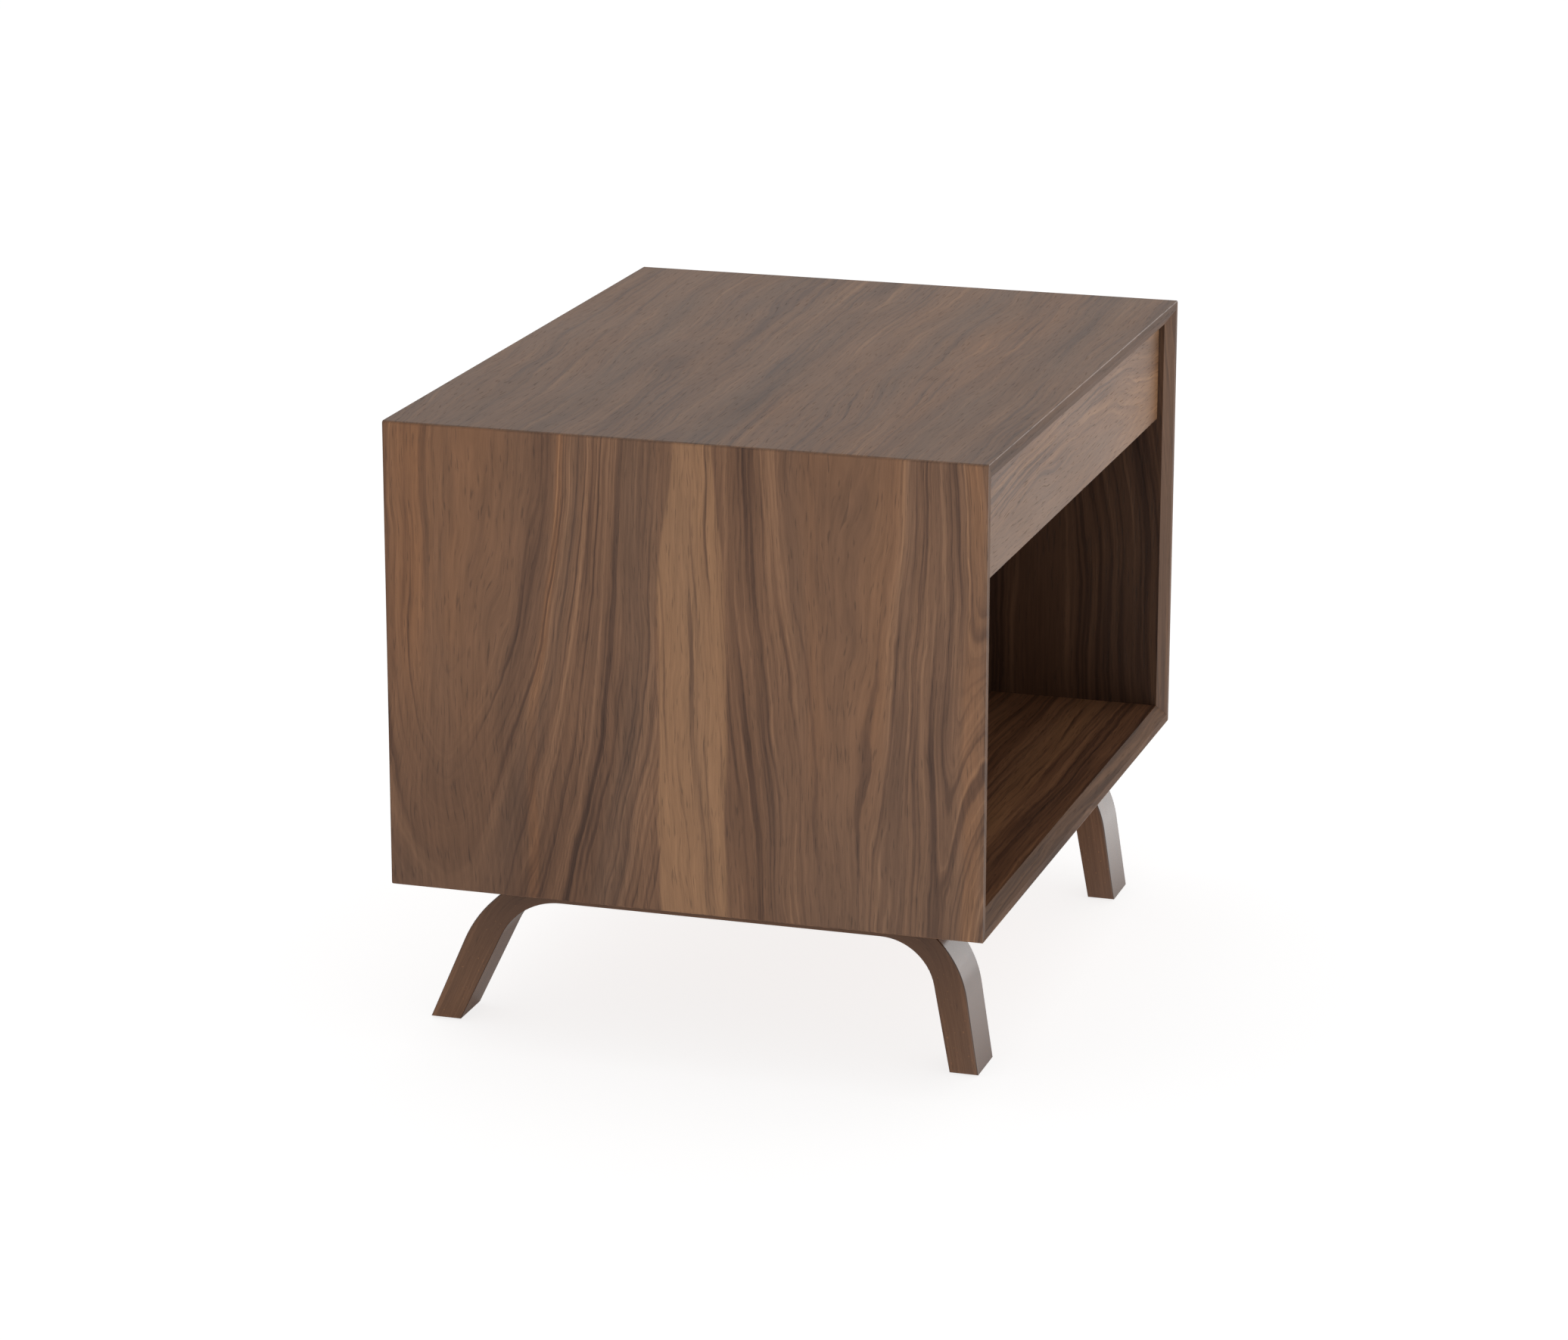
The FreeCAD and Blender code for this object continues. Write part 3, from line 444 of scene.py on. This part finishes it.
def bentwood(name, node, seed):
    """Stained bent leg frame: the layers and the grain follow the rail and turn down into both legs."""
    graph = Graph(name)
    low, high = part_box(node)
    x, y, z = graph.axes
    down = graph.scaled(z, -1.0, high.z)
    lean_front = graph.scaled(down, 0.17, 0.0)
    lean_rear = graph.scaled(down, 0.45, 0.0)
    to_front = graph.plus(y, graph.scaled(lean_front, 1.0, 0.180))
    to_rear = graph.minus(graph.scaled(lean_rear, 1.0, 0.158), y)
    layer = graph.math("SMOOTH_MIN", graph.math("SMOOTH_MIN", down, to_front, 0.05), to_rear, 0.05)
    run = graph.plus(graph.math("ABSOLUTE", graph.scaled(y, 1.0, 0.01)), down)
    wave = graph.noise(graph.join(graph.scaled(run, 7.0), graph.scaled(x, 30.0), seed), 2.0)
    layer = graph.plus(layer, graph.swing(wave, 0.003))
    wide = graph.plus(x, graph.swing(wave, 0.006))
    broad = graph.noise(graph.stretch((run, 4.0), (layer, 150.0), (wide, 90.0)), 1.0)
    narrow = graph.noise(graph.stretch((run, 9.0), (layer, 620.0), (wide, 300.0)), 2.0)
    figure = graph.plus(0.5, graph.swing(broad, 0.55), graph.swing(narrow, 0.4))
    color = graph.ramp(figure, [(0.0, LEG_LINE), (0.4, LEG_DARK), (0.95, LEG_MID)])
    fibre = graph.noise(graph.stretch((run, 30.0), (layer, 1300.0), (x, 1100.0)), 2.0)
    pore = graph.noise(graph.stretch((run, 80.0), (layer, 1700.0), (x, 1700.0)))
    pores = graph.step(pore, 0.62, 0.74)
    color = graph.shade(color, graph.scaled(fibre, 0.36, 0.82))
    color = graph.mix(graph.scaled(pores, 0.5), color, graph.shade(color, 0.55))
    speck = graph.noise(graph.spread(520.0))
    color = graph.mix(graph.step(speck, 0.70, 0.76, 0.0, 0.5), color, LEG_SPECK)
    # A darker line along the arrises beside the frame's sides.
    aside = graph.math("MINIMUM", graph.minus(x, low.x), graph.minus(high.x, x))
    dark_arris_line = graph.times(graph.step(aside, 0.0001, 0.0004), graph.step(aside, 0.0010, 0.0018, 1.0, 0.0))
    color = graph.mix(graph.scaled(dark_arris_line, 0.7), color, graph.shade(LEG_LINE, 0.5))
    # Painted shade: the frame is drawn darker at its top, under the box, and lighter further down.
    color = graph.shade(color, graph.step(down, 0.0, 0.09, 0.80, 1.12))
    sheen = graph.noise(graph.stretch((run, 12.0), (layer, 60.0), (x, 60.0)), 2.0)
    roughness = graph.plus(0.16, graph.scaled(sheen, 0.1))
    height = graph.plus(graph.scaled(fibre, 0.4), graph.scaled(pores, -0.5))
    normal = graph.bump(height, 0.00004, 0.4)
    return graph.finish(
        color, roughness, normal, IOR=1.42, Coat_Weight=1.0, Coat_Roughness=0.14, Coat_IOR=1.42)


def plywood(name, node, along, thin, seed):
    """Clear birch plywood: a quiet rotary figure on the faces, and alternate plies on the edges."""
    graph = Graph(name)
    low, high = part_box(node)
    rest = ({"x", "y", "z"} - {along, thin}).pop()
    a = graph.axes[AXIS[along]]
    b = graph.axes[AXIS[rest]]
    deep = graph.minus(graph.axes[AXIS[thin]], low[AXIS[thin]])
    thick = high[AXIS[thin]] - low[AXIS[thin]]
    wander = graph.noise(graph.join(graph.scaled(a, 4.0), graph.scaled(b, 22.0), seed), 2.0)
    run = graph.scaled(a, 7.0)
    wide = graph.scaled(graph.plus(b, graph.swing(wander, 0.02)), 90.0)
    figure = graph.noise(graph.join(run, wide, seed), 3.0)
    face = graph.ramp(figure, [(0.25, BIRCH_DARK), (0.75, BIRCH_LIGHT)])
    ripple = graph.noise(graph.stretch((a, 30.0), (b, 160.0), (deep, 900.0)), 1.0)
    ply = graph.math("FRACT", graph.plus(graph.scaled(deep, 1 / PLY_THICK), graph.swing(ripple, 0.05)))
    dark = graph.step(ply, 0.46, 0.54)
    dark = graph.times(dark, graph.step(ply, 0.94, 1.0, 1.0, 0.0))
    skin = graph.math("MINIMUM", deep, graph.minus(thick, deep))
    core = graph.step(skin, 0.0007, 0.0011)
    grit = graph.noise(graph.stretch((a, 700.0), (b, 700.0), (deep, 1600.0)), 2.0)
    end_grain = graph.shade(BIRCH_END, graph.scaled(grit, 0.7, 0.65))
    color = graph.mix(graph.times(dark, core), face, end_grain)
    fibre = graph.noise(graph.stretch((a, 45.0), (b, 1100.0), (deep, 1100.0)), 2.0)
    color = graph.shade(color, graph.scaled(fibre, 0.24, 0.88))
    roughness = graph.plus(0.42, graph.scaled(fibre, 0.12), graph.scaled(graph.times(dark, core), 0.12))
    height = graph.plus(graph.scaled(fibre, 0.5), graph.scaled(graph.times(dark, core), -0.5))
    normal = graph.bump(height, 0.00008, 0.5)
    return graph.finish(color, roughness, normal, IOR=1.48)


def plain_wood(name, along, light, dark):
    """Bare close-grained wood for dowels and mitre splines."""
    graph = Graph(name)
    spots = graph.drawn_out(along, 60.0, 900.0)
    fibre = graph.noise(graph.join(*spots), 2.0)
    flecks = graph.step(graph.noise(graph.join(*[graph.scaled(s, 1.7) for s in spots])), 0.6, 0.75)
    color = graph.ramp(fibre, [(0.25, dark), (0.75, light)])
    color = graph.mix(graph.scaled(flecks, 0.5), color, graph.shade(color, 0.6))
    roughness = graph.plus(0.5, graph.scaled(fibre, 0.15))
    normal = graph.bump(fibre, 0.0001, 0.5)
    return graph.finish(color, roughness, normal, IOR=1.48)


def plated_steel(name, color, along, roughness=0.3):
    """Zinc-plated steel: soft clouding, and fine drawing lines along the part."""
    graph = Graph(name)
    drawn = graph.noise(graph.join(*graph.drawn_out(along, 25.0, 1500.0)), 2.0)
    cloud = graph.noise(graph.spread(55.0), 3.0)
    clouded = tuple(part * shift for part, shift in zip(color, CLOUD_TINT))
    tinted = graph.mix(graph.step(cloud, 0.35, 0.7), color, clouded)
    tinted = graph.shade(tinted, graph.scaled(drawn, 0.2, 0.9))
    rough = graph.plus(roughness - 0.08, graph.scaled(cloud, 0.12), graph.scaled(drawn, 0.1))
    normal = graph.bump(drawn, 0.00003, 0.4)
    return graph.finish(tinted, rough, normal, Metallic=1.0)


def polished_steel(name):
    """Bearing balls: bright, under a patchy film of grease."""
    graph = Graph(name)
    smear = graph.noise(graph.spread(420.0), 2.0)
    color = graph.ramp(smear, [(0.3, (0.60, 0.60, 0.61)), (0.7, (0.78, 0.78, 0.79))])
    roughness = graph.scaled(smear, 0.22, 0.04)
    return graph.finish(color, roughness, graph.bump(smear, 0.00002, 0.3), Metallic=1.0)


def brass(name):
    """Turned brass: fine tool marks round the vertical axis and a little tarnish."""
    graph = Graph(name)
    turned = graph.noise(graph.join(0.0, 0.0, graph.scaled(graph.axes[2], 5200.0)), 1.0)
    tarnish = graph.noise(graph.spread(240.0), 3.0)
    color = graph.ramp(tarnish, [(0.3, (0.42, 0.29, 0.11)), (0.65, (0.72, 0.54, 0.25))])
    roughness = graph.scaled(tarnish, 0.25, 0.18)
    return graph.finish(color, roughness, graph.bump(turned, 0.00004, 0.5), Metallic=1.0)


def nylon(name, color):
    """Moulded nylon: fine spark-eroded texture, with soft lighter scuffs."""
    graph = Graph(name)
    grain = graph.noise(graph.spread(1500.0), 2.0)
    scuff = graph.noise(graph.spread(130.0), 3.0)
    lighter = tuple(part * 2.2 for part in color)
    mixed = graph.mix(graph.step(scuff, 0.55, 0.75, 0.0, 0.35), color, lighter)
    roughness = graph.plus(0.42, graph.scaled(grain, 0.2))
    return graph.finish(mixed, roughness, graph.bump(grain, 0.00005, 0.5), IOR=1.53)


def dress(name, material):
    """Give a CAD node its material."""
    thing = NODES[name]
    thing.data.materials.clear()
    thing.data.materials.append(material)


def dress_box():
    dress("left_side_panel", walnut(
        "walnut_left_side", "left_side_panel", "z", "y",
        leaves=[
            (0.0, 0.058, [(0.1685, -0.04, 0.010, -0.30, 0.01)]),
            (0.016, 0.036, [(-0.107, 0.03, 0.024, -0.04, 0.10), (-0.234, 0.0, 0.040, 0.30, -0.15)]),
        ],
        sways=[
            (0.105, 0.080, 0.030, -0.10, 0.17),
            (-0.150, 0.060, 0.022, -0.12, 0.15),
            (-0.072, 0.045, -0.010, 0.03, 0.16),
        ],
        seed=2.0, streaks=[(-0.0085, 0.0, 0.0250, 0.8, 0.42)], tone=1.06, tint=(1.0, 1.015, 1.01),
        contrast=0.84, painted_shade_near_end=0.04,
        bands=[
            (0.150, 0.0, 0.050, 0.090, UMBER, 0.75, 0.0, 0.03, -0.15),
            (-0.170, 0.0, 0.040, 0.060, HAZE, 1.0, 0.0),
            (0.180, 0.0, 0.022, 0.022, WARM, 0.95, 0.2, -0.10, 0.05),
            (0.186, 0.0, 0.0015, 0.003, DARK, 0.8, 0.0, 0.02, 0.08),
            (0.128, 0.0, 0.006, 0.006, DARK, 0.5, 0.3),
            (0.112, 0.0, 0.002, 0.003, WARM, 0.6, 0.3),
            (0.050, -0.03, 0.015, 0.010, DARK, 0.40, 0.4),
            (-0.045, 0.02, 0.010, 0.014, UMBER, 0.55, 0.3),
            (-0.112, 0.0, 0.014, 0.012, WARM, 0.65, 0.3, -0.14, 0.0),
            (-0.143, 0.0, 0.004, 0.006, DARK, 0.7, 0.3),
            (-0.178, 0.0, 0.008, 0.009, DARK, 0.75, 0.5),
            (-0.205, 0.0, 0.003, 0.007, WARM, 0.7, 0.4),
            (0.214, 0.0, 0.003, 0.002, UMBER, 0.5, 0.0),
        ],
        edge_tone=0.92, inner_painted_shade=0.58))
    dress("right_side_panel", walnut(
        "walnut_right_side", "right_side_panel", "z", "y",
        leaves=[
            (0.0, 0.034, [(0.250, 0.0, 0.03, 0.02, -0.17)]),
            (0.080, 0.034, [(-0.105, 0.02, 0.028, 0.16, 0.0)]),
        ],
        seed=14.0, streaks=[(0.165, 0.0, 0.012, 0.6, 0.0)], waves=0.2, edge_tone=0.98,
        tint=(1.0, 1.0, 1.05), inner_painted_shade=0.45))
    dress("top_panel", walnut(
        "walnut_top", "top_panel", "x", "y",
        leaves=[(0.0, 0.034, [(0.330, 0.03, 0.05, 0.04, -0.28)])],
        seed=31.0, waves=1.0, contrast=0.52, tone=1.09, tint=(1.0, 1.03, 0.99), painted_shade_near_end=0.08,
        bands=[
            (0.102, -0.02, 0.003, 0.006, DARK, 0.7, 1.0),
            (0.086, 0.02, 0.006, 0.008, DARK, 0.7, 1.0),
            (0.012, 0.0, 0.004, 0.006, DARK, 0.7, 1.0),
            (-0.004, 0.02, 0.007, 0.008, UMBER, 0.7, 1.0),
            (-0.060, 0.0, 0.020, 0.020, WARM, 0.3, 0.6),
            (-0.145, -0.02, 0.003, 0.005, DARK, 0.6, 0.9),
            (-0.172, 0.02, 0.002, 0.004, UMBER, 0.7, 0.5),
            (-0.120, 0.0, 0.020, 0.020, WARM, 0.5, 0.4),
        ],
        edge_tone=0.80, inner_painted_shade=0.7))
    dress("bottom_panel", walnut(
        "walnut_bottom", "bottom_panel", "x", "y",
        leaves=[
            (0.0, 0.034, [(0.330, 0.0, 0.030, -0.03, 0.1)]),
            (-0.06, 0.034, [(-0.320, 0.0, 0.03, 0.03, -0.2)]),
        ],
        seed=47.0, streaks=[(-0.150, 0.0, 0.012, 0.6, 0.0)], waves=0.6, contrast=1.2,
        tint=(1.02, 0.96, 0.93), level=0.2, edge_tone=0.84, inner_painted_shade=0.90,
        bands=[
            (0.120, 0.0, 0.012, 0.012, DARK, 0.8, 0.6),
            (0.020, 0.0, 0.010, 0.012, DARK, 0.8, 0.6),
            (-0.060, 0.0, 0.010, 0.012, UMBER, 0.8, 0.6),
            (0.070, 0.0, 0.008, 0.010, WARM, 0.6, 0.5),
        ]))
    # Painted shade: the divider, inside the box, is drawn darker all over by a tone below 1.
    dress("divider_panel", walnut(
        "walnut_divider", "divider_panel", "x", "y",
        leaves=[(0.0, 0.034, [(0.020, 0.0, 0.030, 0.08, 0.0)])], seed=59.0, tone=0.8))
    # Painted shade: the back panel, which closes the box's inside, is drawn darker all over by a tone
    # below 1.
    dress("back_panel", walnut(
        "walnut_back", "back_panel", "x", "z",
        leaves=[
            (0.0, 0.034, [(0.070, 0.0, 0.030, 0.14, 0.0)]),
            (-0.02, 0.034, [(-0.090, 0.0, 0.030, -0.12, 0.05)]),
        ],
        seed=71.0, tone=0.9, gloss=0.44))
    dress("drawer_front", walnut(
        "walnut_drawer_front", "drawer_front", "x", "z",
        leaves=[(0.0, 0.034, [(-0.020, 0.03, 0.020, 0.10, 0.0)])], seed=83.0, tone=1.08,
        tint=(1.0, 1.03, 0.95), level=0.10, contrast=0.85))
    dress("mitre_splines", plain_wood("beech_spline", "y", (0.52, 0.36, 0.22), (0.36, 0.23, 0.13)))


def dress_legs():
    for side, seed in (("left", 5.0), ("right", 9.0)):
        name = f"{side}_leg_frame"
        dress(name, bentwood(f"walnut_{side}_leg", name, seed))
    dress("foot_glides", nylon("glide_nylon", (0.045, 0.045, 0.047)))
    dress("threaded_inserts", brass("insert_brass"))


def dress_slides():
    steel = plated_steel("slide_zinc", (0.62, 0.63, 0.65), "y")
    cage = plated_steel("cage_zinc", (0.55, 0.555, 0.56), "y", roughness=0.4)
    balls = polished_steel("ball_steel")
    for name, slot in SLOTS.items():
        if slot == "zinc_steel":
            dress(name, cage if "cage" in name else steel)
        elif slot == "bright_steel":
            dress(name, balls)
    dress("slide_end_stops", nylon("stop_nylon", (0.05, 0.05, 0.052)))


def dress_drawer():
    for name, along, thin, seed in (
        ("drawer_inner_front", "x", "y", 3.0),
        ("drawer_back", "x", "y", 6.0),
        ("drawer_left_side", "y", "x", 11.0),
        ("drawer_right_side", "y", "x", 17.0),
        ("drawer_bottom", "x", "z", 23.0),
    ):
        dress(name, plywood(f"birch_{name}", name, along, thin, seed))
    dress("drawer_dowels", plain_wood("beech_pin", "x", (0.66, 0.49, 0.32), (0.50, 0.34, 0.20)))


def dress_screws():
    steel = plated_steel("screw_zinc", (0.56, 0.57, 0.58), "z", roughness=0.32)
    for name, slot in SLOTS.items():
        if slot == "screw_steel":
            dress(name, steel)


def make_floor(name, height):
    """A wide pale disc. Gives back its object and its material's graph."""
    mesh = bpy.data.meshes.new(name)
    shape = bmesh.new()
    bmesh.ops.create_circle(shape, cap_ends=True, segments=96, radius=FLOOR_RADIUS)
    shape.to_mesh(mesh)
    shape.free()
    floor = bpy.data.objects.new(name, mesh)
    floor.location.z = height
    bpy.context.scene.collection.objects.link(floor)
    return floor, Graph(name)


def paint_floor(floor, graph, glow):
    """A slightly mottled matt white that glows by a number, or by a pattern's socket."""
    mottle = graph.noise(graph.spread(3.0), 2.0)
    shade = graph.ramp(mottle, [(0.3, (FLOOR_COLOR,) * 3), (0.7, (FLOOR_COLOR + FLOOR_MOTTLE,) * 3)])
    material = graph.finish(shade, 0.9, Specular_IOR_Level=0.0)
    shader = graph.tree.nodes["Principled BSDF"]
    shader.inputs["Emission Color"].default_value = (1.0, 1.0, 1.0, 1.0)
    graph.feed(shader.inputs["Emission Strength"], glow)
    floor.data.materials.append(material)


def make_floors():
    """The floor the camera sees, which stays white round a soft shadow, and just over it one
    that only reflections show, whose glow is painted light and shadow: a painted shadow under and
    behind the table, painted light in front of it and most to its right."""
    seen, graph = make_floor("floor", 0.0)
    paint_floor(seen, graph, FLOOR_GLOW)
    seen.visible_glossy = False
    mirrored, graph = make_floor("floor_in_reflections", FLOOR_LIFT)
    x, y = graph.axes[:2]
    # Painted light and shadow in this floor's glow: dim under and behind the table, brighter in front of
    # it and brightest to its right.
    front = graph.times(graph.step(y, -0.12, -0.30), graph.step(x, -0.7, -0.2))
    painted_light = graph.times(front, graph.step(x, 0.1, 0.6, MIRRORED_PAINTED_LIGHT, MIRRORED_PAINTED_LIGHT + MIRRORED_RIGHT_PAINTED_LIGHT))
    paint_floor(mirrored, graph, graph.plus(MIRRORED_PAINTED_SHADOW, painted_light))
    mirrored.visible_camera = False
    mirrored.visible_diffuse = False
    mirrored.visible_transmission = False
    mirrored.visible_shadow = False


def make_softbox(name, place, size, power, aim=LIT_POINT):
    """A rectangular area light that faces the table."""
    light = bpy.data.lights.new(name, "AREA")
    light.shape = "RECTANGLE"
    light.size, light.size_y = size
    light.energy = power
    softbox = bpy.data.objects.new(name, light)
    softbox.location = place
    softbox.rotation_euler = (Vector(aim) - Vector(place)).to_track_quat("-Z", "Y").to_euler()
    bpy.context.scene.collection.objects.link(softbox)


def make_world():
    world = bpy.data.worlds.new("studio")
    world.use_nodes = True
    background = world.node_tree.nodes["Background"]
    background.inputs["Color"].default_value = (1.0, 1.0, 1.0, 1.0)
    background.inputs["Strength"].default_value = SKY
    bpy.context.scene.world = world


def make_camera():
    lens = bpy.data.cameras.new("camera")
    lens.lens = LENS
    lens.sensor_width = SENSOR
    lens.clip_start = 0.05
    lens.clip_end = 200.0
    camera = bpy.data.objects.new("camera", lens)
    bpy.context.scene.collection.objects.link(camera)
    out = Vector((
        math.sin(AZIMUTH) * math.cos(ELEVATION),
        -math.cos(AZIMUTH) * math.cos(ELEVATION),
        math.sin(ELEVATION),
    ))
    aim = (-out).to_track_quat("-Z", "Y").to_matrix().to_4x4()
    place = Matrix.Translation(TARGET + DISTANCE * out)
    camera.matrix_world = place @ aim @ Matrix.Rotation(ROLL, 4, "Z")
    bpy.context.scene.camera = camera


def make_view():
    scene = bpy.context.scene
    scene.view_settings.view_transform = "Standard"
    scene.view_settings.look = "None"


dress_box()
dress_legs()
dress_slides()
dress_drawer()
dress_screws()
make_floors()
make_softbox("overhead", SOFTBOX_PLACE, (SOFTBOX_SIDE, SOFTBOX_SIDE), SOFTBOX_POWER)
make_softbox("rim", RIM_PLACE, RIM_SIZE, RIM_POWER)
make_world()
make_camera()
make_view()
